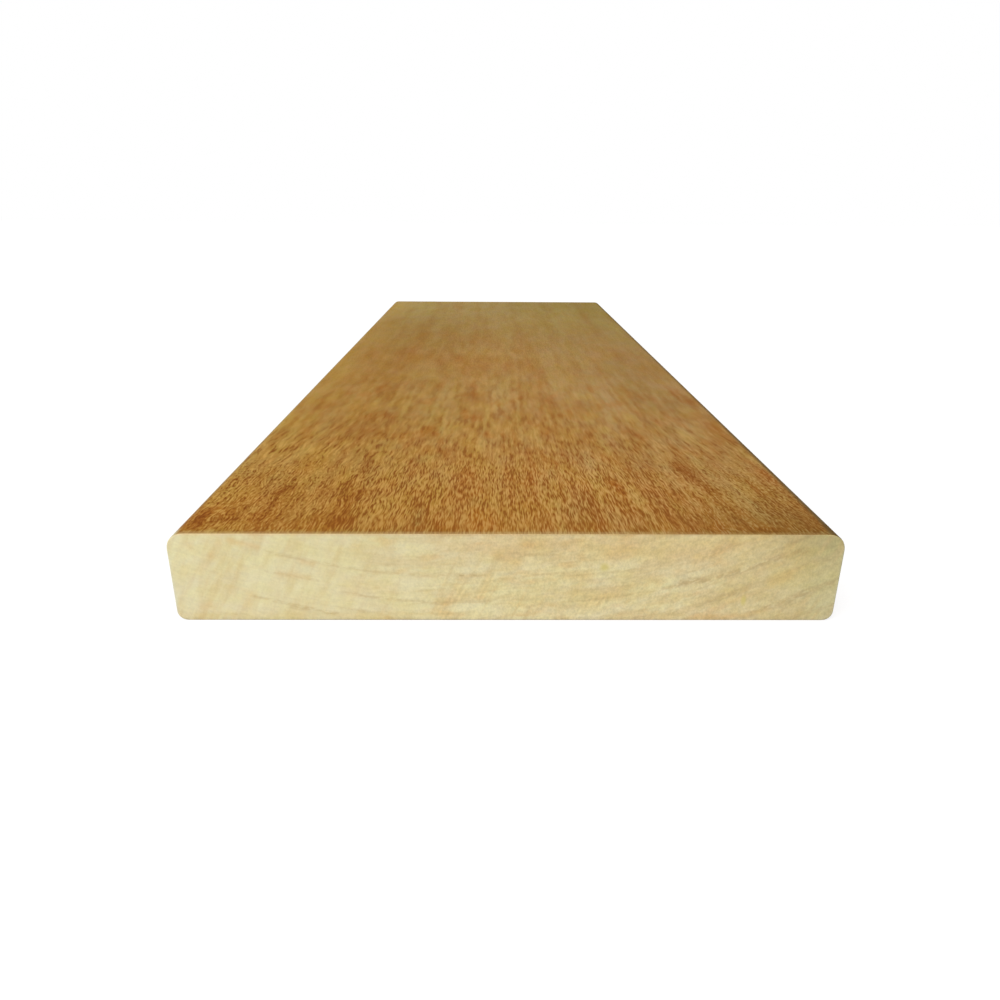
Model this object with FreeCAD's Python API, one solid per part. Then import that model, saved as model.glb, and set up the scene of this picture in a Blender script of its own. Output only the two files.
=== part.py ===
# A planed hardwood decking board: one sawn and moulded length of solid timber.
# Millimetres. X runs across the board, Y along it and Z up. The board lies flat on its
# underside, and the origin is the middle of that face.
import FreeCAD
import Part

import math
import os

# The length between the two sawn ends, and the planed section
board_length = 400.0
board_width = 145.0
board_thickness = 21.0

# The moulder rounds the two walking-side arrises more than the two underneath
top_arris_radius = 3.8
bottom_arris_radius = 2.3

# The sharp corner that the saw leaves round each end is just taken off
end_easing = 0.3

node_name = "decking_board"
parts_folder = "parts"


def section_corners():
    # Centre, radius and first angle of each rounded corner, anticlockwise as seen from the
    # near end, starting at the bottom left
    half_width = board_width / 2
    top, bottom = top_arris_radius, bottom_arris_radius
    return [
        (-half_width + bottom, bottom, bottom, 180),
        (half_width - bottom, bottom, bottom, 270),
        (half_width - top, board_thickness - top, top, 0),
        (-half_width + top, board_thickness - top, top, 90),
    ]


def corner_arc(centre_x, centre_z, radius, first_angle):
    # A quarter circle in the plane of the near end
    points = []
    for turned in (0, 45, 90):
        angle = math.radians(first_angle + turned)
        x = centre_x + radius * math.cos(angle)
        z = centre_z + radius * math.sin(angle)
        points.append(FreeCAD.Vector(x, -board_length / 2, z))
    return Part.Arc(*points).toShape()


def section_face():
    # The moulder's profile: four tangent arcs joined by the four flat faces
    arcs = [corner_arc(*corner) for corner in section_corners()]
    edges = []
    for arc, next_arc in zip(arcs, arcs[1:] + arcs[:1]):
        flat = Part.LineSegment(arc.Vertexes[-1].Point, next_arc.Vertexes[0].Point)
        edges += [arc, flat.toShape()]
    return Part.Face(Part.Wire(edges))


def sawn_end_edges(board):
    # The closed ring of edges round each end: those that run across the length
    return [edge for edge in board.Edges if edge.BoundBox.YLength < end_easing]


def decking_board():
    board = section_face().extrude(FreeCAD.Vector(0, board_length, 0))
    return board.makeFillet(end_easing, sawn_end_edges(board)).Solids[0]


def main():
    board = decking_board()
    os.makedirs(parts_folder, exist_ok=True)
    board.exportStep(os.path.join(parts_folder, node_name + ".step"))
    box = board.optimalBoundingBox(False, False)
    print(node_name, board.ShapeType, "valid", board.isValid(), "faces", len(board.Faces))
    print("size %.2f x %.2f x %.2f mm" % (box.XLength, box.YLength, box.ZLength))
    print("volume %.1f cm3" % (board.Volume / 1000))


main()
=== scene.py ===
import math

import bmesh
import bpy
from mathutils import Matrix, Vector, noise


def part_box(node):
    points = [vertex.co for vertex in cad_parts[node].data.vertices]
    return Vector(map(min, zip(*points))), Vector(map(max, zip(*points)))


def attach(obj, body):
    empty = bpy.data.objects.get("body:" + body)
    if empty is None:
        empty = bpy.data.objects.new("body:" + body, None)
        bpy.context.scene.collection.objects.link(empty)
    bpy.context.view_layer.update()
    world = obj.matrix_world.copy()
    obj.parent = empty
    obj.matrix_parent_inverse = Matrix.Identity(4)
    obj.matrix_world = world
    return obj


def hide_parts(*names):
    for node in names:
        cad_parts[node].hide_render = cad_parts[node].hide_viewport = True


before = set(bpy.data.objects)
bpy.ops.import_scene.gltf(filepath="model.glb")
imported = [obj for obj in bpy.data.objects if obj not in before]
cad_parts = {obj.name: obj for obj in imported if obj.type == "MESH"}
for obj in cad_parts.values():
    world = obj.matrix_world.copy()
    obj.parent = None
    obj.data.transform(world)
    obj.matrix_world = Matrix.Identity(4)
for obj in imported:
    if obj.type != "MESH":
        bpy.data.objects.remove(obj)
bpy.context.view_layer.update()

# A short length of planed hardwood decking. Settings are in millimetres unless a note says
# otherwise, and colours are written as they look on a screen, 0 to 255.
mm = 0.001


def screenColour(red, green, blue):
    linear = []
    for value in (red, green, blue):
        v = value / 255
        linear.append(v / 12.92 if v <= 0.04045 else ((v + 0.055) / 1.055) ** 2.4)
    return (*linear, 1.0)


# Camera

cameraSettings = {
    "place": (-3.466, -346.654, 86.432),
    "turn": 0.706,  # degrees, to the right of straight along the board
    "tilt": 21.478,  # degrees, down
    "roll": 0.396,
    "lens": 27.291,
    "sensor": 36.0,
}


def makeCamera():
    settings = cameraSettings
    data = bpy.data.cameras.new("camera")
    data.lens = settings["lens"]
    data.sensor_width = settings["sensor"]
    data.clip_start = 0.01
    data.clip_end = 50
    camera = bpy.data.objects.new("camera", data)
    bpy.context.scene.collection.objects.link(camera)
    turn = Matrix.Rotation(-math.radians(settings["turn"]), 4, "Z")
    tilt = Matrix.Rotation(math.radians(90 - settings["tilt"]), 4, "X")
    roll = Matrix.Rotation(math.radians(settings["roll"]), 4, "Z")
    place = Matrix.Translation(Vector(settings["place"]) * mm)
    camera.matrix_world = place @ turn @ tilt @ roll
    bpy.context.scene.camera = camera


makeCamera()
print("camera placed")


# Nodes

def addNode(tree, kind, inputs=None, **settings):
    node = tree.nodes.new(kind)
    for name, value in settings.items():
        setattr(node, name, value)
    for name, value in (inputs or {}).items():
        if isinstance(value, bpy.types.NodeSocket):
            tree.links.new(value, node.inputs[name])
        else:
            node.inputs[name].default_value = value
    return node


def newMaterial(name):
    material = bpy.data.materials.new(name)
    material.use_nodes = True
    material.node_tree.nodes.clear()
    return material, material.node_tree


def calc(tree, operation, first, second=0.0):
    return addNode(tree, "ShaderNodeMath", {0: first, 1: second}, operation=operation).outputs[0]


def spread(tree, value, low, high, start=0.0, end=1.0):
    # A soft step: start below low, end above high
    inputs = {"Value": value, "From Min": low, "From Max": high, "To Min": start, "To Max": end}
    return addNode(tree, "ShaderNodeMapRange", inputs, interpolation_type="SMOOTHSTEP").outputs[0]


def blend(tree, factor, first, second):
    return addNode(tree, "ShaderNodeMix", {0: factor, 2: first, 3: second}).outputs[0]


def mixColours(tree, factor, first, second, mode="MIX"):
    inputs = {0: factor, 6: first, 7: second}
    return addNode(tree, "ShaderNodeMix", inputs, data_type="RGBA", blend_type=mode).outputs[2]


def blotches(tree, place, size, detail=2.0, rough=0.5, shift=0.0):
    # Noise whose blotches are about half of size: across, along and through the board
    inputs = {"Vector": place, "Scale": [1 / s for s in size], "Location": (shift, shift * 1.7, shift * 0.6)}
    fitted = addNode(tree, "ShaderNodeMapping", inputs).outputs[0]
    inputs = {"Vector": fitted, "Scale": 1.0, "Detail": detail, "Roughness": rough}
    return addNode(tree, "ShaderNodeTexNoise", inputs).outputs[0]


def boardPlace(tree):
    # Where a point lies on the board, in millimetres
    place = addNode(tree, "ShaderNodeTexCoord").outputs["Object"]
    return addNode(tree, "ShaderNodeVectorMath", {0: place, "Scale": 1 / mm}, operation="SCALE").outputs[0]


def splitPlace(tree, place):
    return addNode(tree, "ShaderNodeSeparateXYZ", {0: place}).outputs


def joinPlace(tree, x, y, z):
    return addNode(tree, "ShaderNodeCombineXYZ", {0: x, 1: y, 2: z}).outputs[0]


def ringDepth(tree, place, settings):
    # Distance from the heart of the tree, which lies above the board, made a little uneven
    x, y, z = splitPlace(tree, place)
    heartX, heartZ = settings["heart"]
    across = calc(tree, "SUBTRACT", x, heartX)
    up = calc(tree, "SUBTRACT", z, heartZ)
    squares = calc(tree, "ADD", calc(tree, "POWER", calc(tree, "ABSOLUTE", across), 2),
                   calc(tree, "POWER", calc(tree, "ABSOLUTE", up), 2))
    depth = calc(tree, "SQRT", squares)
    for size, amount, shift in settings["ringWander"]:
        swing = calc(tree, "SUBTRACT", blotches(tree, place, size, 1, 0.5, shift), 0.5)
        depth = calc(tree, "ADD", depth, calc(tree, "MULTIPLY", swing, amount))
    return depth


treeSettings = {
    "heart": (-12.0, 176.0),
    "ringWander": [((60, 300, 60), 6.0, 3.1), ((9, 60, 9), 0.9, 7.7), ((2.4, 30, 1.4), 0.7, 5.3)],
}


# Planed faces

planedLook = {
    # How the colour drifts, by the distance from the near end; the paler, greener far end is partly painted
    # sheen
    "driftAndSheen": [
        (0, (165, 110, 35)), (10, (172, 119, 44)), (27, (178, 127, 52)), (45, (173, 126, 55)),
        (130, (171, 130, 64)), (200, (167, 126, 59)), (250, (160, 124, 58)), (370, (164, 138, 76)),
    ],
    "stroke": (130, 68, 0),
    "fleck": (210, 163, 86),
    "ember": (166, 102, 24),  # the redder wood
    "honey": (183, 140, 62),
    "olive": (154, 131, 66),
    "gold": (185, 146, 72),  # towards the left edge
    "arrisLine": (98, 77, 32),  # painted shade: the dark line down the right arris, on its side turned from the light
    # a paler, greyer line down the left arris
    "leftArrisLine": (142, 130, 90),
    "rubbed": (0.95, 1.08, 1.3),  # how the front edge changes red, green and blue
    "cut": (198, 174, 124),  # where the saw left the front edge
    "paleLeftCorner": (206, 200, 162),
    "fan": (-5.5, 8.0),  # how far the grain fans out before the near end, left and right
    "roughness": 0.65,
    "shine": 0.12,
}


def driftColours(tree, place, stops, length):
    ramp = addNode(tree, "ShaderNodeValToRGB", {0: place})
    points = ramp.color_ramp.elements
    while len(points) < len(stops):
        points.new(0.5)
    for point, (distance, colour) in zip(points, stops):
        point.position = distance / length
        point.color = screenColour(*colour)
    return ramp.outputs[0]


def grainPlace(tree, place, look):
    # Follows the fibres: they fan out before the near end, wander slowly and waver a little
    x, y, z = splitPlace(tree, place)
    fan = spread(tree, x, -35.0, 60.0, *look["fan"])
    shifted = calc(tree, "ADD", x, calc(tree, "MULTIPLY", fan, spread(tree, y, -215.0, -105.0)))
    swing = calc(tree, "SUBTRACT", blotches(tree, place, (50, 130, 50), 1, 0.5, 1.3), 0.5)
    shifted = calc(tree, "ADD", shifted, calc(tree, "MULTIPLY", swing, 8.0))
    waver = calc(tree, "SUBTRACT", blotches(tree, place, (3.6, 6, 3.6), 1, 0.5, 4.9), 0.5)
    amount = spread(tree, calc(tree, "ABSOLUTE", x), 15.0, 55.0, 1.0, 2.0)
    amount = calc(tree, "SUBTRACT", amount, spread(tree, x, 10.0, 50.0, 0.0, 0.6))
    shifted = calc(tree, "ADD", shifted, calc(tree, "MULTIPLY", waver, amount))
    return joinPlace(tree, shifted, y, z)


def planedFibre(tree, grain, x, y, hidden):
    # Fine strokes near the end, shorter at the sides, and softer and wider ones further off.
    # The sides and the underside have the fine strokes throughout.
    fine = blotches(tree, grain, (0.31, 2.8, 0.31), 0, 0.5, 0.0)
    short = blotches(tree, grain, (0.4, 1.6, 0.4), 1, 0.5, 31.0)
    fine = blend(tree, spread(tree, calc(tree, "ABSOLUTE", x), 20.0, 60.0, 0.15, 0.78), fine, short)
    pores = blotches(tree, grain, (0.5, 8.0, 0.5), 1, 0.5, 9.0)
    broad = blotches(tree, grain, (1.7, 18.0, 1.7), 1, 0.5, 5.0)
    strokes = calc(tree, "ADD", calc(tree, "MULTIPLY", fine, 0.62), calc(tree, "MULTIPLY", pores, 0.29))
    sharp = calc(tree, "ADD", strokes, calc(tree, "MULTIPLY", broad, 0.09))
    fibre = sharp
    softer = [
        ((0.8, 5.5, 0.8), -168.0, -134.0, 0.85), ((1.45, 8.5, 1.45), -145.0, -110.0, 0.9),
        ((2.3, 13.0, 2.3), -118.0, -78.0, 1.0), ((3.8, 24.0, 3.8), -65.0, -5.0, 1.0),
        ((7.0, 44.0, 7.0), 0.0, 90.0, 1.0),
    ]
    for size, start, end, share in softer:
        calm = blend(tree, 0.4, blotches(tree, grain, size, 1, 0.4, 20 + size[0]), 0.5)
        fibre = blend(tree, spread(tree, y, start, end, 0.0, share), fibre, calm)
    return sharp, blend(tree, hidden, fibre, sharp)


def strokeContrast(tree, x, y):
    # Strongest near the middle of the near end, calm at the sides and far off
    near = spread(tree, y, -165.0, -88.0, 0.93, 0.47)
    near = calc(tree, "MULTIPLY", near, spread(tree, y, -100.0, -35.0, 1.0, 0.38))
    near = calc(tree, "MULTIPLY", near, spread(tree, y, -30.0, 100.0, 1.0, 0.36))
    left = calc(tree, "MULTIPLY", spread(tree, x, -38.0, -68.0), spread(tree, y, -146.0, -112.0, 0.24, -0.42))
    beside = spread(tree, y, -138.0, -114.0, 0.13, -0.08)
    left = calc(tree, "ADD", left, calc(tree, "MULTIPLY", spread(tree, x, -14.0, -34.0), beside))
    right = calc(tree, "MULTIPLY", spread(tree, x, 4.0, 32.0), spread(tree, y, -160.0, -90.0, 0.03, -0.5))
    sides = calc(tree, "ADD", calc(tree, "ADD", left, right), 1.0)
    front = spread(tree, y, -199.0, -184.0, 0.78, 1.0)
    return calc(tree, "MULTIPLY", calc(tree, "MULTIPLY", near, front), sides)


def acrossTintAndShade(tree, x, y):
    # Golden towards the left, lighter down the middle, greyer towards the right, and darker towards the
    # right, at the near right corner and across the far end, which is painted shade of the light from the
    # left
    light = spread(tree, x, -28.0, 0.0, 1.0, 1.065)
    light = calc(tree, "SUBTRACT", light, spread(tree, x, 14.0, 60.0, 0.0, 0.075))
    # Painted shade at the near right corner
    corner = spread(tree, y, -199.0, -178.0, 0.1, 0.0)
    light = calc(tree, "SUBTRACT", light, calc(tree, "MULTIPLY", corner, spread(tree, x, 22.0, 60.0)))
    # Across the far end, painted light to the left and painted shade to the right
    far = spread(tree, y, 105.0, 180.0)
    light = calc(tree, "ADD", light, calc(tree, "MULTIPLY", far, spread(tree, x, 20.0, -25.0, -0.2, 0.2)))
    green = calc(tree, "ADD", light, spread(tree, x, -30.0, 15.0, 0.0, 0.025))
    blue = calc(tree, "ADD", light, spread(tree, x, -55.0, 40.0, -0.11, 0.27))
    farther = calc(tree, "MULTIPLY", spread(tree, y, 30.0, 150.0), spread(tree, x, 0.0, 20.0))
    blue = calc(tree, "SUBTRACT", blue, calc(tree, "MULTIPLY", farther, 0.6))
    brown = calc(tree, "MULTIPLY", spread(tree, y, -190.0, -150.0, 0.09, 0.01), spread(tree, x, 35.0, 62.0))
    return joinPlace(tree, calc(tree, "SUBTRACT", light, brown), green, blue)


def arrisShadeAndTints(tree, x, y, z, colour, look):
    # Painted shade in a dark line down the right upper arris, a paler, greyer line down the left one and a
    # pale front left corner, and the front is rubbed pale
    rubbed = spread(tree, y, -196.8, -199.2)
    colour = mixColours(tree, rubbed, colour, (*look["rubbed"], 1.0), "MULTIPLY")
    front = spread(tree, y, -198.3, -200.0, 0.0, 0.42)
    front = calc(tree, "MULTIPLY", front, spread(tree, x, 12.0, 55.0, 1.0, 0.35))
    colour = mixColours(tree, front, colour, screenColour(*look["cut"]))
    upper = spread(tree, z, 18.6, 19.8)
    wider = calc(tree, "ADD", x, spread(tree, y, -190.0, -200.0, 0.0, 0.5))
    upper = calc(tree, "MULTIPLY", upper, spread(tree, y, -150.0, -50.0, 1.0, 0.7))
    # Painted shade: the dark line down the right arris
    arrisLine = calc(tree, "MULTIPLY", spread(tree, wider, 68.6, 70.0, 0.0, 0.8), upper)
    colour = mixColours(tree, arrisLine, colour, screenColour(*look["arrisLine"]))
    upper = calc(tree, "MULTIPLY", upper, spread(tree, y, -193.0, -175.0, 0.4, 1.0))
    # A paler, greyer line down the left arris
    arrisLine = calc(tree, "MULTIPLY", spread(tree, x, -69.6, -70.9, 0.0, 0.55), upper)
    colour = mixColours(tree, arrisLine, colour, screenColour(*look["leftArrisLine"]))
    # Pale at the front left corner
    corner = calc(tree, "MULTIPLY", spread(tree, x, -69.6, -70.8), spread(tree, y, -195.5, -199.0, 0.0, 0.85))
    return mixColours(tree, corner, colour, screenColour(*look["paleLeftCorner"]))


def planedTimber():
    look = planedLook
    material, tree = newMaterial("planedTimber")
    place = boardPlace(tree)
    x, y, z = splitPlace(tree, place)
    grain = grainPlace(tree, place, look)
    streak = addNode(tree, "ShaderNodeAttribute", attribute_name="streak").outputs["Fac"]
    warmth = addNode(tree, "ShaderNodeAttribute", attribute_name="warmth").outputs["Fac"]
    olive = addNode(tree, "ShaderNodeAttribute", attribute_name="olive").outputs["Fac"]

    mottle = blotches(tree, grain, (12, 30, 12), 2, 0.5, 2.0)
    drawn = blotches(tree, grain, (2.4, 42, 2.4), 1, 0.5, 12.0)
    blush = blotches(tree, grain, (6, 18, 6), 2, 0.5, 18.0)
    hue = blotches(tree, grain, (13, 120, 13), 1, 0.5, 15.0)
    bands = blotches(tree, grain, (8, 240, 8), 2, 0.5, 8.0)
    cloud = blotches(tree, grain, (13, 75, 13), 2, 0.5, 25.0)

    crowd = calc(tree, "MULTIPLY", calc(tree, "SUBTRACT", mottle, 0.5), 0.08)
    crowd = calc(tree, "ADD", crowd, calc(tree, "MULTIPLY", streak, 0.07))
    hidden = spread(tree, z, 19.3, 16.5)
    sharp, fibre = planedFibre(tree, grain, x, y, hidden)
    fibre = calc(tree, "SUBTRACT", fibre, crowd)
    contrast = blend(tree, hidden, strokeContrast(tree, x, y), 0.55)
    dark = calc(tree, "MULTIPLY", spread(tree, fibre, 0.5, 0.38), contrast)
    light = calc(tree, "MULTIPLY", spread(tree, fibre, 0.5, 0.62), contrast)

    # The fine grain goes on to the far end, fainter there
    onward = blend(tree, hidden, spread(tree, y, -110.0, 0.0, 0.0, 0.28), 0.0)
    dark = calc(tree, "ADD", dark, calc(tree, "MULTIPLY", spread(tree, sharp, 0.5, 0.38), onward))
    light = calc(tree, "ADD", light, calc(tree, "MULTIPLY", spread(tree, sharp, 0.5, 0.62), onward))

    wander = calc(tree, "MULTIPLY", calc(tree, "SUBTRACT", bands, 0.5), 0.3)
    along = calc(tree, "DIVIDE", calc(tree, "ADD", y, 200.0), 400.0)
    along = calc(tree, "ADD", along, calc(tree, "MULTIPLY", wander, spread(tree, y, -190.0, -100.0)))
    # Paler and greener towards the far end: partly painted sheen
    colour = driftColours(tree, along, look["driftAndSheen"], 400.0)

    # Redder and greener wood: small flushes near the end, long soft ones further off
    close = spread(tree, y, -110.0, 0.0, 1.0, 0.15)
    far = spread(tree, y, -170.0, 20.0, 0.3, 1.0)
    far = calc(tree, "MULTIPLY", far, spread(tree, y, -10.0, 80.0, 1.0, 0.4))
    ember = calc(tree, "MULTIPLY", spread(tree, blush, 0.5, 0.7, 0.0, 0.55), close)
    ember = calc(tree, "ADD", ember, calc(tree, "MULTIPLY", spread(tree, hue, 0.5, 0.3, 0.0, 0.18), far))
    ember = calc(tree, "ADD", ember, calc(tree, "MULTIPLY", warmth, 0.75))
    colour = mixColours(tree, ember, colour, screenColour(*look["ember"]))
    honey = calc(tree, "MULTIPLY", spread(tree, blush, 0.5, 0.3, 0.0, 0.55), close)
    colour = mixColours(tree, honey, colour, screenColour(*look["honey"]))
    pale = calc(tree, "MULTIPLY", spread(tree, hue, 0.5, 0.7, 0.0, 0.16), far)
    pale = calc(tree, "ADD", pale, calc(tree, "MULTIPLY", olive, 0.6))
    colour = mixColours(tree, pale, colour, screenColour(*look["olive"]))
    edge = calc(tree, "MULTIPLY", spread(tree, x, -50.0, -71.0, 0.0, 0.5), spread(tree, y, -190.0, -150.0))
    colour = mixColours(tree, edge, colour, screenColour(*look["gold"]))

    # Lighter and darker wood, the darker redder as well
    tone = spread(tree, bands, 0.3, 0.7, 0.94, 1.06)
    streaky = spread(tree, drawn, 0.3, 0.7, -0.095, 0.095)
    tone = calc(tree, "ADD", tone, calc(tree, "MULTIPLY", streaky, spread(tree, y, -100.0, -20.0, 1.0, 0.2)))
    patchy = spread(tree, mottle, 0.3, 0.7, 0.075, -0.075)
    tone = calc(tree, "ADD", tone, calc(tree, "MULTIPLY", patchy, spread(tree, y, -100.0, 0.0, 1.0, 0.4)))
    clouded = spread(tree, cloud, 0.3, 0.7, -0.055, 0.055)
    tone = calc(tree, "ADD", tone, calc(tree, "MULTIPLY", clouded, spread(tree, y, -130.0, -20.0)))
    tone = calc(tree, "SUBTRACT", tone, calc(tree, "MULTIPLY", streak, 0.16))
    red, green, blue = (calc(tree, "POWER", tone, power) for power in (0.5, 1.15, 2.1))
    rosy = blotches(tree, grain, (2.4, 6, 2.4), 2, 0.6, 33.0)
    straw = blotches(tree, grain, (7, 18, 7), 3, 0.6, 37.0)
    red = calc(tree, "MULTIPLY", red, spread(tree, rosy, 0.3, 0.7, 0.965, 1.035))
    blue = calc(tree, "MULTIPLY", blue, spread(tree, straw, 0.3, 0.7, 0.82, 1.18))
    colour = mixColours(tree, 1.0, colour, joinPlace(tree, red, green, blue), "MULTIPLY")
    colour = mixColours(tree, calc(tree, "MULTIPLY", dark, 0.85), colour, screenColour(*look["stroke"]))
    colour = mixColours(tree, calc(tree, "MULTIPLY", light, 0.6), colour, screenColour(*look["fleck"]))
    tinted = spread(tree, y, 20.0, 150.0, 1.0, 0.4)
    colour = mixColours(tree, tinted, colour, acrossTintAndShade(tree, x, y), "MULTIPLY")
    colour = arrisShadeAndTints(tree, x, y, z, colour, look)

    bump = addNode(tree, "ShaderNodeBump", {"Height": fibre, "Strength": 0.3, "Distance": 0.0001})
    shader = addNode(tree, "ShaderNodeBsdfPrincipled", {
        "Base Color": colour, "Normal": bump.outputs[0],
        "Roughness": spread(tree, fibre, 0.38, 0.62, look["roughness"] + 0.1, look["roughness"] - 0.05),
        "Specular IOR Level": look["shine"],
    })
    out = addNode(tree, "ShaderNodeOutputMaterial")
    tree.links.new(shader.outputs[0], out.inputs["Surface"])
    return material


# Sawn ends

sawnLook = {
    "cream": (226, 216, 171),
    "tan": (213, 191, 137),
    "peach": (218, 187, 130),
    "rightShade": (194, 177, 120),  # painted shade towards the right-hand edge, away from the light
    "line": (182, 154, 104),
    "yellow": (210, 194, 112),
    "spots": [(21.0, 13.2, 1.5, 1.5), (52.1, 5.1, 0.9, 2.0)],  # resin: across, up, width, height
    "rings": [(6.1, 0.55, 0.24, 1.0), (2.3, 0.45, 0.15, 6.0)],  # spacing, width, strength, shift
    "sawSlant": 64,  # degrees
    "hatchPitch": 1.15,
    "roughness": 0.85,
    "shine": 0.1,
}


def slantPlace(tree, x, y, z, degrees):
    slant = math.radians(degrees)
    beside = calc(tree, "SUBTRACT", calc(tree, "MULTIPLY", x, math.sin(slant)),
                  calc(tree, "MULTIPLY", z, math.cos(slant)))
    down = calc(tree, "ADD", calc(tree, "MULTIPLY", x, math.cos(slant)),
                calc(tree, "MULTIPLY", z, math.sin(slant)))
    return joinPlace(tree, beside, y, down)


def ringLines(tree, along, depth, x, colour, look):
    # Broken up along their length, and faint on the left
    reach = spread(tree, x, -62.0, 30.0, 0.15, 1.0)
    for spacing, width, amount, shift in look["rings"]:
        turn = calc(tree, "FRACT", calc(tree, "DIVIDE", depth, spacing))
        off = calc(tree, "MULTIPLY", calc(tree, "ABSOLUTE", calc(tree, "SUBTRACT", turn, 0.5)), spacing)
        broken = spread(tree, blotches(tree, along, (14, 40, 2.2), 2, 0.6, shift), 0.38, 0.62)
        line = calc(tree, "MULTIPLY", spread(tree, off, 0.0, width, amount, 0.0), broken)
        colour = mixColours(tree, calc(tree, "MULTIPLY", line, reach), colour, screenColour(*look["line"]))
    return colour


def resinSpots(tree, x, z, colour, look):
    for across, up, width, height in look["spots"]:
        scaled = joinPlace(tree, calc(tree, "DIVIDE", x, width), 0.0, calc(tree, "DIVIDE", z, height))
        inputs = {0: scaled, 1: (across / width, 0, up / height)}
        away = addNode(tree, "ShaderNodeVectorMath", inputs, operation="DISTANCE").outputs["Value"]
        spot = spread(tree, away, 0.15, 1.0, 0.7, 0.0)
        colour = mixColours(tree, spot, colour, screenColour(*look["yellow"]))
    return colour


def rimTintsAndShade(tree, x, z, colour):
    # Paler at the upper left, darker at the upper right as painted shade, grey-green down both sides, warm
    # along the top, yellower at the foot
    places = [
        (spread(tree, x, -62.0, -69.0), spread(tree, z, 9.0, 15.0), (1.05, 1.09, 1.1)),
        (spread(tree, x, 62.0, 70.0), 1.0, (0.99, 1.05, 1.12)),
        # painted shade at the upper right
        (spread(tree, x, 50.0, 64.0), spread(tree, z, 15.0, 20.0), (0.91, 0.91, 0.93)),
        (spread(tree, calc(tree, "ABSOLUTE", x), 71.6, 72.5), 1.0, (0.95, 1.0, 1.16)),
        (spread(tree, x, 20.0, -20.0, 0.3, 1.0), spread(tree, z, 20.2, 20.8), (0.99, 0.9, 0.86)),
        (spread(tree, x, 10.0, -20.0, 0.4, 1.0), spread(tree, z, 2.8, 1.4), (0.97, 0.94, 0.85)),
    ]
    for across, up, tint in places:
        where = calc(tree, "MULTIPLY", across, up)
        colour = mixColours(tree, where, colour, (*tint, 1.0), "MULTIPLY")
    return colour


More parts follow.
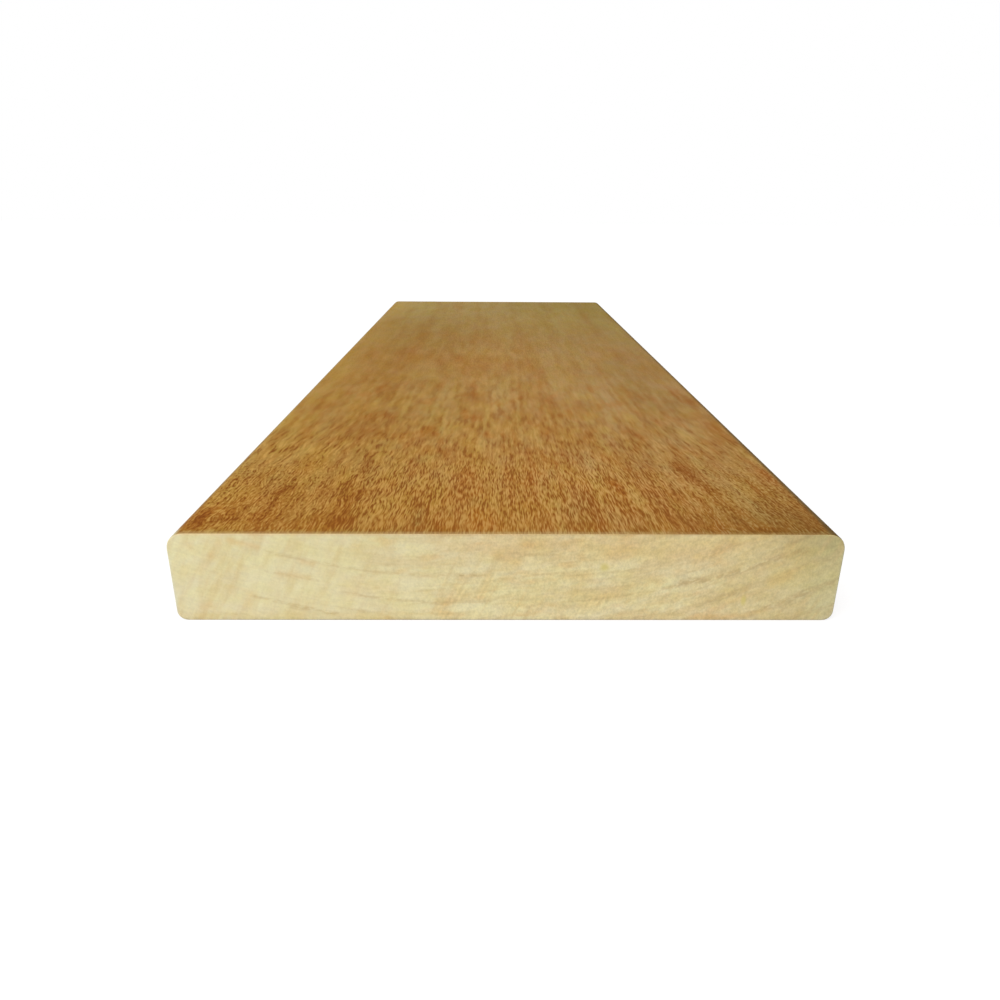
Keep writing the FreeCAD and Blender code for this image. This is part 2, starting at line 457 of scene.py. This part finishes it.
def sawnTimber():
    look = sawnLook
    material, tree = newMaterial("sawnTimber")
    place = boardPlace(tree)
    x, y, z = splitPlace(tree, place)
    depth = ringDepth(tree, place, treeSettings)
    streak = addNode(tree, "ShaderNodeAttribute", attribute_name="streak").outputs["Fac"]
    warmth = addNode(tree, "ShaderNodeAttribute", attribute_name="warmth").outputs["Fac"]
    hatch = addNode(tree, "ShaderNodeAttribute", attribute_name="hatch").outputs["Fac"]

    # Warm patches, drawn out along the saw's marks at the left and along the rings elsewhere
    along = joinPlace(tree, x, y, depth)
    slanted = slantPlace(tree, x, y, z, look["sawSlant"])
    sawn = blend(tree, 0.25, blotches(tree, slanted, (4, 60, 13), 3, 0.6, 27.0), 0.52)
    warm = blend(tree, spread(tree, x, -50.0, -18.0), sawn, blotches(tree, along, (20, 60, 5), 4, 0.6, 2.0))
    # The tan rises towards the right: painted shade, away from the light on the left
    warm = calc(tree, "ADD", warm, spread(tree, x, -60.0, 72.0, -0.07, 0.07))
    warm = spread(tree, warm, 0.34, 0.7, 0.0, 0.8)
    colour = mixColours(tree, warm, screenColour(*look["cream"]), screenColour(*look["tan"]))
    peach = spread(tree, blotches(tree, along, (7, 60, 3), 2, 0.55, 11.0), 0.52, 0.8, 0.0, 0.5)
    peach = calc(tree, "MULTIPLY", peach, spread(tree, x, -50.0, -20.0, 0.4, 1.0))
    peach = calc(tree, "ADD", peach, calc(tree, "MULTIPLY", warmth, 0.78))
    upper = calc(tree, "MULTIPLY", spread(tree, z, 8.0, 19.0, 0.0, 0.34), spread(tree, x, -28.0, 2.0))
    peach = calc(tree, "ADD", peach, upper)
    colour = mixColours(tree, peach, colour, screenColour(*look["peach"]))
    # Painted shade: darker towards the right-hand edge, most at the top
    rightShade = spread(tree, x, 54.0, 72.0, 0.0, 0.5)
    rightShade = calc(tree, "MULTIPLY", rightShade, spread(tree, z, 8.0, 19.0, 0.2, 1.0))
    rightShade = calc(tree, "ADD", rightShade, spread(tree, x, 40.0, 73.0, 0.0, 0.5))
    colour = mixColours(tree, rightShade, colour, screenColour(*look["rightShade"]))

    colour = ringLines(tree, along, depth, x, colour, look)
    fleck = spread(tree, blotches(tree, along, (1.6, 20, 0.6), 1, 0.5, 8.0), 0.35, 0.6, 0.2, 1.0)
    fleck = calc(tree, "MULTIPLY", fleck, spread(tree, x, -5.0, 35.0, 0.75, 1.0))
    colour = mixColours(tree, calc(tree, "MULTIPLY", streak, fleck), colour, screenColour(*look["line"]))

    # Marks of the saw, leaning to the right
    saw = blotches(tree, slanted, (1.3, 60, 14), 1, 0.5, 3.0)
    patch = spread(tree, blotches(tree, place, (24, 60, 24), 1, 0.5, 4.0), 0.42, 0.6, 0.3, 1.0)
    sawWarm = calc(tree, "MULTIPLY", spread(tree, saw, 0.5, 0.7, 0.0, 0.4), patch)
    colour = mixColours(tree, sawWarm, colour, screenColour(*look["peach"]))
    sawTone = calc(tree, "MULTIPLY", spread(tree, saw, 0.3, 0.7, 0.035, -0.035), patch)
    beside = calc(tree, "MULTIPLY", splitPlace(tree, slanted)[0], 2 * math.pi / look["hatchPitch"])
    teeth = calc(tree, "MULTIPLY", calc(tree, "SINE", beside), 0.045)
    sawTone = calc(tree, "SUBTRACT", sawTone, calc(tree, "MULTIPLY", teeth, hatch))

    # The cut fibres, coarser to the right, and the ragged lower edge
    speckle = blotches(tree, place, (0.42, 20, 0.55), 2, 0.6, 1.0)
    cells = blotches(tree, place, (1.4, 20, 1.3), 2, 0.55, 16.0)
    coarse = spread(tree, x, -45.0, 15.0, 0.8, 2.0)
    tone = spread(tree, speckle, 0.3, 0.7, -0.034, 0.034)
    tone = calc(tree, "ADD", tone, spread(tree, cells, 0.3, 0.7, -0.026, 0.026))
    tone = calc(tree, "ADD", calc(tree, "MULTIPLY", tone, coarse), calc(tree, "ADD", sawTone, 0.992))
    weave = blotches(tree, along, (3.2, 40, 0.55), 1, 0.5, 14.0)
    tone = calc(tree, "ADD", tone, spread(tree, weave, 0.3, 0.7, -0.018, 0.018))
    ticks = spread(tree, blotches(tree, place, (1.0, 20, 2.4), 1, 0.5, 19.0), 0.4, 0.62, 0.03, 0.11)
    tone = calc(tree, "SUBTRACT", tone, calc(tree, "MULTIPLY", ticks, spread(tree, z, 1.2, 0.4)))
    straw = spread(tree, blotches(tree, place, (6, 40, 3.4), 3, 0.6, 22.0), 0.3, 0.7, 0.94, 1.06)
    straw = calc(tree, "ADD", straw, spread(tree, x, -48.0, -72.0, 0.0, 0.07))
    straw = calc(tree, "ADD", straw, spread(tree, z, 5.0, 1.0, 0.0, 0.07))
    blue = calc(tree, "MULTIPLY", tone, straw)
    green = calc(tree, "MULTIPLY", tone, spread(tree, x, -25.0, -68.0, 1.0, 1.01))
    colour = mixColours(tree, 1.0, colour, joinPlace(tree, tone, green, blue), "MULTIPLY")
    colour = resinSpots(tree, x, z, colour, look)
    colour = rimTintsAndShade(tree, x, z, colour)

    height = calc(tree, "ADD", calc(tree, "MULTIPLY", saw, 0.5), calc(tree, "MULTIPLY", speckle, 0.5))
    bump = addNode(tree, "ShaderNodeBump", {"Height": height, "Strength": 0.3, "Distance": 0.0001})
    shader = addNode(tree, "ShaderNodeBsdfPrincipled", {
        "Base Color": colour, "Normal": bump.outputs[0],
        "Roughness": look["roughness"], "Specular IOR Level": look["shine"],
    })
    out = addNode(tree, "ShaderNodeOutputMaterial")
    tree.links.new(shader.outputs[0], out.inputs["Surface"])
    return material


# The board's shape

boardSettings = {
    "topArris": 3.8,  # radius of the two upper long edges
    "bottomArris": 2.3,
    "topArrisSteps": 8,
    "bottomArrisSteps": 6,
    "endEasing": 0.3,
    "topStep": 1.0,  # grid across the walking face, for the relief
    "underStep": 4.0,
    "sideStep": 1.3,
    "sawnSteps": (0.35, 1.0),  # grids on the near and far sawn ends
    "alongSteps": (0.6, 2.8),  # rows at the ends, and in the middle
    "alongGrowth": 1.1,
    "planedRelief": 0.03,
    "sawnRelief": 0.04,
}

# Marks on the near part of the board: points along each, half width and strength.
# On the walking face the points are across and along, on the near end across and up.
topStreaks = [
    ([(17, -132), (23, -153)], 0.8, 0.5),
    ([(24.5, -156), (26, -165)], 0.8, 1.0),
    ([(26, -168), (28.5, -175)], 1.0, 1.0),
    ([(27.5, -181), (30.5, -187)], 0.9, 0.9),
    ([(30.5, -188), (32.5, -197)], 0.9, 0.9),
    ([(46, -154), (50.5, -173)], 1.3, 0.8),
    ([(50.5, -173), (51, -195)], 1.6, 0.6),
    ([(53, -198), (58, -198)], 1.5, 0.9),
    ([(61, -186), (68, -198)], 4.0, 0.5),
    ([(-36, -149), (-36.5, -161)], 0.9, 0.9),
    ([(-34, -170), (-35, -175)], 1.0, 0.7),
    ([(-35, -188), (-34.5, -197)], 1.3, 1.0),
    ([(-38.5, -190), (-38, -197)], 1.0, 0.9),
    ([(-4.8, -166), (-4, -182)], 0.9, 0.7),
    ([(-10.5, -137), (-10.2, -148)], 1.0, 0.7),
    ([(-53, -172), (-54, -176)], 1.2, 0.9),
    ([(-56, -189), (-56, -193)], 0.9, 0.8),
    ([(-48.5, -178), (-48.3, -182)], 0.9, 0.7),
    ([(-67, -195), (-68, -189)], 2.0, 0.7),
    ([(-64, -192), (-60, -192)], 2.5, 0.6),
    ([(13, -194), (14.5, -198)], 1.0, 0.7),
    ([(21, -193), (21, -197)], 1.0, 0.7),
    ([(28, -121), (27, -126)], 1.5, 0.6),
    ([(32, -100), (37, -190)], 6.0, 0.35),
    ([(20, -95), (22, -146)], 6.0, 0.3),
    ([(-38, -192), (-36, -176)], 5.0, 0.35),
]
topWarmth = [
    ([(-72, -192), (-62, -186)], 6.0, 0.6),
    ([(-40, -195), (-34, -190)], 4.0, 0.5),
    ([(-26, -143), (-17, -141)], 3.5, 0.6),
    ([(26, -168), (29, -175)], 1.8, 0.8),
    ([(48, -156), (51, -175)], 2.5, 0.5),
    ([(67.5, -158), (68.5, -168)], 1.5, 0.8),
    ([(65, -175), (67, -190)], 2.5, 0.4),
    ([(52, -197), (59, -197)], 2.5, 0.7),
    ([(-12, -150), (-4, -196)], 4.0, 0.42),
    ([(-38, -190), (-36, -178)], 5.0, 0.25),
    ([(67, -122), (67, -112)], 2.5, 0.6),
    ([(-24, -120), (-23, -143)], 3.0, 0.3),
    ([(-38, 0), (14, -26)], 16.0, 0.33),
    ([(-28, 58), (-12, 38)], 10.0, 0.25),
]
topOlive = [
    ([(62, 90), (64, 190)], 14.0, 0.6),
    ([(29, 60), (30, 190)], 6.0, 0.4),
    ([(48, -20), (56, -92)], 9.0, 0.45),
    ([(22, -27), (25, -27)], 5.0, 0.4),
    ([(-48, -166), (-47, -163)], 3.0, 0.4),
    ([(-64, -160), (-52, -172)], 7.0, 0.25),
    ([(14, -180), (26, -196)], 7.0, 0.3),
    ([(-7.5, -182), (-7, -180)], 2.0, 0.5),
    ([(-19.5, -188), (-19.7, -195)], 1.0, 0.6),
]
endStreaks = [
    ([(-53.5, 17.2), (-36, 13.1), (-25, 11.6), (-18.5, 11.3), (-10, 11.2)], 0.4, 0.4),
    ([(-10, 11.2), (-5, 11.2)], 0.28, 0.8),
    ([(-55, 6), (-48, 4.3), (-36.5, 1.4)], 0.4, 0.5),
    ([(-47, 3.3), (-43.5, 2.7)], 0.5, 0.4),
    ([(-39.5, 1.7), (-37.5, 1.6)], 0.5, 0.4),
    ([(-35.6, 7), (-29.4, 5.8), (-23.7, 5.1), (-15.4, 4.5), (-3.5, 4.8)], 0.4, 0.45),
    ([(-37.5, 3.3), (-31.5, 2.3)], 0.4, 0.4),
    ([(-17.5, 17.1), (-5.5, 17.2)], 0.4, 0.3),
    ([(0.5, 16.5), (11, 16)], 0.4, 0.35),
    ([(0.5, 11.6), (13.5, 11.6)], 0.4, 0.3),
    ([(34, 8.1), (39, 8.9)], 0.4, 0.4),
    ([(38, 9.8), (44, 10.1), (51, 12.5), (59, 15.9), (64, 17.4)], 0.85, 0.55),
    ([(44.5, 4.8), (48, 6.2), (52, 7.8)], 0.85, 0.4),
    ([(54, 1.8), (60, 4.2), (64, 6.2), (71, 9.6)], 0.85, 0.55),
    ([(66.5, 14.4), (69.5, 15.4)], 0.7, 0.4),
    ([(42.5, 15.3), (48.5, 19.4)], 0.9, 0.35),
    ([(-52, 12.2), (-41, 9.9)], 0.35, 0.35),
]
endWarmth = [
    ([(-61.2, 18.9), (-63.2, 15.8)], 1.0, 0.45),
    ([(-63.2, 15.8), (-66.2, 12.0)], 0.8, 0.35),
    ([(-67.5, 18.3), (-67.2, 17.6)], 1.0, 0.5),
    ([(-59, 19.5), (-53.3, 17.8)], 0.8, 0.6),
    ([(-44, 14.5), (-41.8, 13.9)], 0.8, 0.6),
    ([(-49, 11.4), (-43, 10.6)], 0.9, 0.5),
    ([(-66.5, 3.4), (-65, 3.8)], 1.1, 0.5),
    ([(-57, 3.4), (-55.5, 6.2)], 1.2, 0.4),
    ([(-14.5, 2.3), (-10.5, 7.3)], 1.6, 0.4),
    ([(-5.7, 6.1), (-3.7, 10.5)], 1.0, 0.4),
    ([(-2, 15.7), (2, 14.3)], 1.5, 0.5),
    ([(22.5, 16), (26, 17.9)], 2.0, 0.5),
    ([(4, 18.8), (7, 18.8)], 1.5, 0.4),
    ([(13, 11), (18, 11)], 1.4, 0.45),
    ([(17, 3.3), (24, 7.3)], 1.6, 0.4),
    ([(41, 15), (48.5, 19)], 1.8, 0.45),
    ([(58, 9.6), (61.2, 11.1)], 1.3, 0.8),
    ([(42, 0.8), (53, 1.2), (57, 3)], 0.8, 0.7),
    ([(-34, 8), (-26, 8)], 2.5, 0.35),
    ([(-14, 18.2), (4, 18.2)], 1.8, 0.3),
]
endHatch = [
    ([(-14, 2), (-10, 7)], 2.0, 1.0),
    ([(-6, 6), (-4, 10.5)], 1.6, 0.9),
    ([(17, 3), (24, 7)], 2.2, 1.0),
    ([(41, 15), (48, 19)], 2.0, 0.6),
]


def longEdges(mesh, top):
    # The edges that run the whole length, on the walking side or underneath
    found = []
    for edge in mesh.edges:
        start, end = (v.co for v in edge.verts)
        if abs(start.y - end.y) > 0.1 and (start.z > 0.01) == top:
            found.append(edge)
    return found


def roundEdges(mesh, edges, radius, steps):
    bmesh.ops.bevel(
        mesh, geom=edges, offset=radius * mm, offset_type="OFFSET", segments=steps,
        profile=0.5, affect="EDGES", material=-1, clamp_overlap=False,
    )


def cutFaces(mesh, faces, axis, places):
    # Cuts the faces square to an axis, at each place along it
    direction = Vector([float(i == axis) for i in range(3)])
    for place in places:
        edges = list({edge for face in faces for edge in face.edges})
        cut = bmesh.ops.bisect_plane(
            mesh, geom=edges + faces, dist=1e-7, plane_co=direction * place, plane_no=direction,
        )
        faces = [part for part in cut["geom"] if isinstance(part, bmesh.types.BMFace)]


def evenCuts(low, high, step):
    count = max(1, round((high - low) / (step * mm)))
    return [low + (high - low) * i / count for i in range(1, count)]


def rowsAlong(low, high):
    # Close rows at the sawn ends, where the camera is near, and wider ones between
    step, widest = (s * mm for s in boardSettings["alongSteps"])
    near = []
    y = low + step
    while y < (low + high) / 2:
        near.append(y)
        step = min(step * boardSettings["alongGrowth"], widest)
        y += step
    return near + [low + high - y for y in reversed(near)]


def makeBoardMesh():
    settings = boardSettings
    low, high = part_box("decking_board")
    mesh = bmesh.new()
    bmesh.ops.create_cube(mesh, size=1)
    bmesh.ops.scale(mesh, vec=high - low, verts=mesh.verts)
    bmesh.ops.translate(mesh, vec=(low + high) / 2, verts=mesh.verts)
    roundEdges(mesh, longEdges(mesh, True), settings["topArris"], settings["topArrisSteps"])
    roundEdges(mesh, longEdges(mesh, False), settings["bottomArris"], settings["bottomArrisSteps"])
    endFaces = [f for f in mesh.faces if abs(f.normal.y) > 0.99]
    rings = list({edge for face in endFaces for edge in face.edges})
    roundEdges(mesh, rings, settings["endEasing"], 2)
    print("board outline made,", len(mesh.faces), "faces")

    topInset, underInset = settings["topArris"] * mm, settings["bottomArris"] * mm
    cutFaces(mesh, [f for f in mesh.faces if abs(f.normal.y) < 0.1], 1, rowsAlong(low.y, high.y))
    cuts = evenCuts(low.x + topInset, high.x - topInset, settings["topStep"])
    cutFaces(mesh, [f for f in mesh.faces if f.normal.z > 0.99], 0, cuts)
    cuts = evenCuts(low.x + underInset, high.x - underInset, settings["underStep"])
    cutFaces(mesh, [f for f in mesh.faces if f.normal.z < -0.99], 0, cuts)
    cuts = evenCuts(low.z + underInset, high.z - topInset, settings["sideStep"])
    cutFaces(mesh, [f for f in mesh.faces if abs(f.normal.x) > 0.99], 2, cuts)
    for side, step in zip((-1, 1), settings["sawnSteps"]):
        for axis in (0, 2):
            cuts = evenCuts(low[axis], high[axis], step)
            cutFaces(mesh, [f for f in mesh.faces if f.normal.y * side > 0.99], axis, cuts)
    print("board grid cut,", len(mesh.faces), "faces")
    return mesh


def readyMarks(marks):
    # Each mark with the corners of the box that it can reach
    ready = []
    for points, width, strength in marks:
        reach = width * 2.5
        across, along = zip(*points)
        box = (min(across) - reach, max(across) + reach, min(along) - reach, max(along) + reach)
        ready.append((box, [Vector(point) for point in points], width, strength))
    return ready


def markStrength(x, y, marks):
    total = 0.0
    place = Vector((x, y))
    for (left, right, low, high), points, width, strength in marks:
        if not (left < x < right and low < y < high):
            continue
        nearest = width * 2.5
        for start, end in zip(points, points[1:]):
            run = end - start
            part = min(max((place - start).dot(run) / run.length_squared, 0), 1)
            nearest = min(nearest, (place - start - run * part).length)
        if nearest < width * 2.5:
            total += strength * math.exp(-(nearest / width) ** 2)
    return min(total, 1.0)


def paintMarks(mesh):
    topLayers = {"streak": topStreaks, "warmth": topWarmth, "olive": topOlive}
    endLayers = {"streak": endStreaks, "warmth": endWarmth, "hatch": endHatch}
    for name in ("streak", "warmth", "olive", "hatch"):
        layer = mesh.verts.layers.float.new(name)
        topMarks = readyMarks(topLayers.get(name, []))
        endMarks = readyMarks(endLayers.get(name, []))
        for vert in mesh.verts:
            x, y, z = vert.co / mm
            if y < -199.9:
                vert[layer] = markStrength(x, z, endMarks)
            elif z > 17:
                vert[layer] = markStrength(x, y, topMarks)


def carveRelief(mesh):
    # Inward only, so that the board keeps its size
    slant = math.radians(sawnLook["sawSlant"])
    moves = []
    for vert in mesh.verts:
        x, y, z = vert.co / mm
        if abs(vert.normal.y) > 0.95:
            beside = x * math.sin(slant) - z * math.cos(slant)
            wave = noise.noise(Vector((beside / 1.6, y / 50, z / 30)))
            wave += 0.5 * noise.noise(Vector((x / 1.1, y / 50, z / 1.1)))
            depth = boardSettings["sawnRelief"] * (0.6 + 0.6 * wave)
        else:
            wave = noise.noise(Vector((x / 2.6, y / 30, z / 2.6)))
            wave += 0.5 * noise.noise(Vector((x / 30, y / 90, z / 30)))
            depth = boardSettings["planedRelief"] * (0.6 + 0.6 * wave)
        moves.append((vert, vert.normal * max(depth, 0) * mm))
    for vert, move in moves:
        vert.co -= move


def layOut(mesh):
    # A flat layout for painted copies: most room for the walking face and the two ends
    layer = mesh.loops.layers.uv.new("OFBake")
    pixel = 1 / 1024
    for face in mesh.faces:
        middle = face.calc_center_median() / mm
        for loop in face.loops:
            x, y, z = loop.vert.co / mm
            along = 12 + (y + 200) * 2.5
            if abs(face.normal.y) > 0.7:
                along = 12 + (x + 72.5) * 6.8
                across = 10 + z * 4.6 + (0 if middle.y < 0 else 108)
            elif abs(face.normal.x) > 0.7:
                across = 226 + z * 2 + (0 if middle.x < 0 else 50)
            elif face.normal.z < 0:
                across = 326 + (x + 72.5) * 1.1
            else:
                across = 494 + (x + 72.5) * 3.58
            loop[layer].uv = (along * pixel, across * pixel)


def makeBoard(planed, sawn):
    mesh = makeBoardMesh()
    paintMarks(mesh)
    carveRelief(mesh)
    mesh.normal_update()
    layOut(mesh)
    for face in mesh.faces:
        face.smooth = True
        side = abs(face.normal.y) > 0.2 and abs(face.normal.z) < 0.6
        face.material_index = 1 if abs(face.normal.y) > 0.8 or side else 0
    data = bpy.data.meshes.new("board")
    mesh.to_mesh(data)
    mesh.free()
    data.materials.append(planed)
    data.materials.append(sawn)
    board = bpy.data.objects.new("board", data)
    bpy.context.scene.collection.objects.link(board)
    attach(board, "root")
    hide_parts("decking_board")
    return board


board = makeBoard(planedTimber(), sawnTimber())
print("board made,", sum(len(p.vertices) - 2 for p in board.data.polygons), "triangles")


# Floor, backdrop and light

floorSettings = {
    "size": 6.0,  # metres
    "tone": 0.8,
    "lift": 0.78,  # what the camera sees as well, so that the open floor is white
    "shown": 0.3,
}

lightSettings = {
    "sky": 0.47,
    "sun": {"from": (-0.25, -0.5, 0.83), "angle": 35, "power": 1.5},
    "side": {"place": (-0.34, -0.42, 0.2), "aim": (-0.02, -0.2, 0.01), "size": 0.12, "power": 0.35},
}


def makeFloor():
    mesh = bmesh.new()
    bmesh.ops.create_grid(mesh, x_segments=1, y_segments=1, size=floorSettings["size"] / 2)
    data = bpy.data.meshes.new("floor")
    mesh.to_mesh(data)
    mesh.free()
    material, tree = newMaterial("paleFloor")
    path = addNode(tree, "ShaderNodeLightPath")
    plain = addNode(tree, "ShaderNodeBsdfDiffuse", {"Color": (floorSettings["tone"],) * 3 + (1,)})
    seen = addNode(tree, "ShaderNodeBsdfDiffuse", {"Color": (floorSettings["shown"],) * 3 + (1,)})
    lift = addNode(tree, "ShaderNodeEmission", {"Strength": floorSettings["lift"]})
    both = addNode(tree, "ShaderNodeAddShader", {0: seen.outputs[0], 1: lift.outputs[0]})
    pick = addNode(tree, "ShaderNodeMixShader", {
        0: path.outputs["Is Camera Ray"], 1: plain.outputs[0], 2: both.outputs[0],
    })
    out = addNode(tree, "ShaderNodeOutputMaterial")
    tree.links.new(pick.outputs[0], out.inputs["Surface"])
    data.materials.append(material)
    floor = bpy.data.objects.new("floor", data)
    bpy.context.scene.collection.objects.link(floor)


def makeSky():
    world = bpy.data.worlds.new("studio")
    bpy.context.scene.world = world
    world.use_nodes = True
    tree = world.node_tree
    tree.nodes.clear()
    path = addNode(tree, "ShaderNodeLightPath")
    soft = addNode(tree, "ShaderNodeBackground", {"Color": (1, 1, 1, 1), "Strength": lightSettings["sky"]})
    white = addNode(tree, "ShaderNodeBackground", {"Color": (1, 1, 1, 1), "Strength": 1.0})
    pick = addNode(tree, "ShaderNodeMixShader", {
        0: path.outputs["Is Camera Ray"], 1: soft.outputs[0], 2: white.outputs[0],
    })
    out = addNode(tree, "ShaderNodeOutputWorld")
    tree.links.new(pick.outputs[0], out.inputs["Surface"])


def placeLight(name, data, place, toward):
    data.energy = lightSettings[name]["power"]
    light = bpy.data.objects.new(name, data)
    light.location = place
    light.rotation_euler = Vector(toward).to_track_quat("-Z", "Y").to_euler()
    bpy.context.scene.collection.objects.link(light)


def makeSun():
    settings = lightSettings["sun"]
    data = bpy.data.lights.new("sun", "SUN")
    data.angle = math.radians(settings["angle"])
    placeLight("sun", data, settings["from"], -Vector(settings["from"]))


def makeSideLight():
    settings = lightSettings["side"]
    data = bpy.data.lights.new("side", "AREA")
    data.size = settings["size"]
    placeLight("side", data, settings["place"], Vector(settings["aim"]) - Vector(settings["place"]))


makeFloor()
makeSky()
makeSun()
makeSideLight()
bpy.context.scene.view_settings.view_transform = "Standard"
print("floor and light ready")
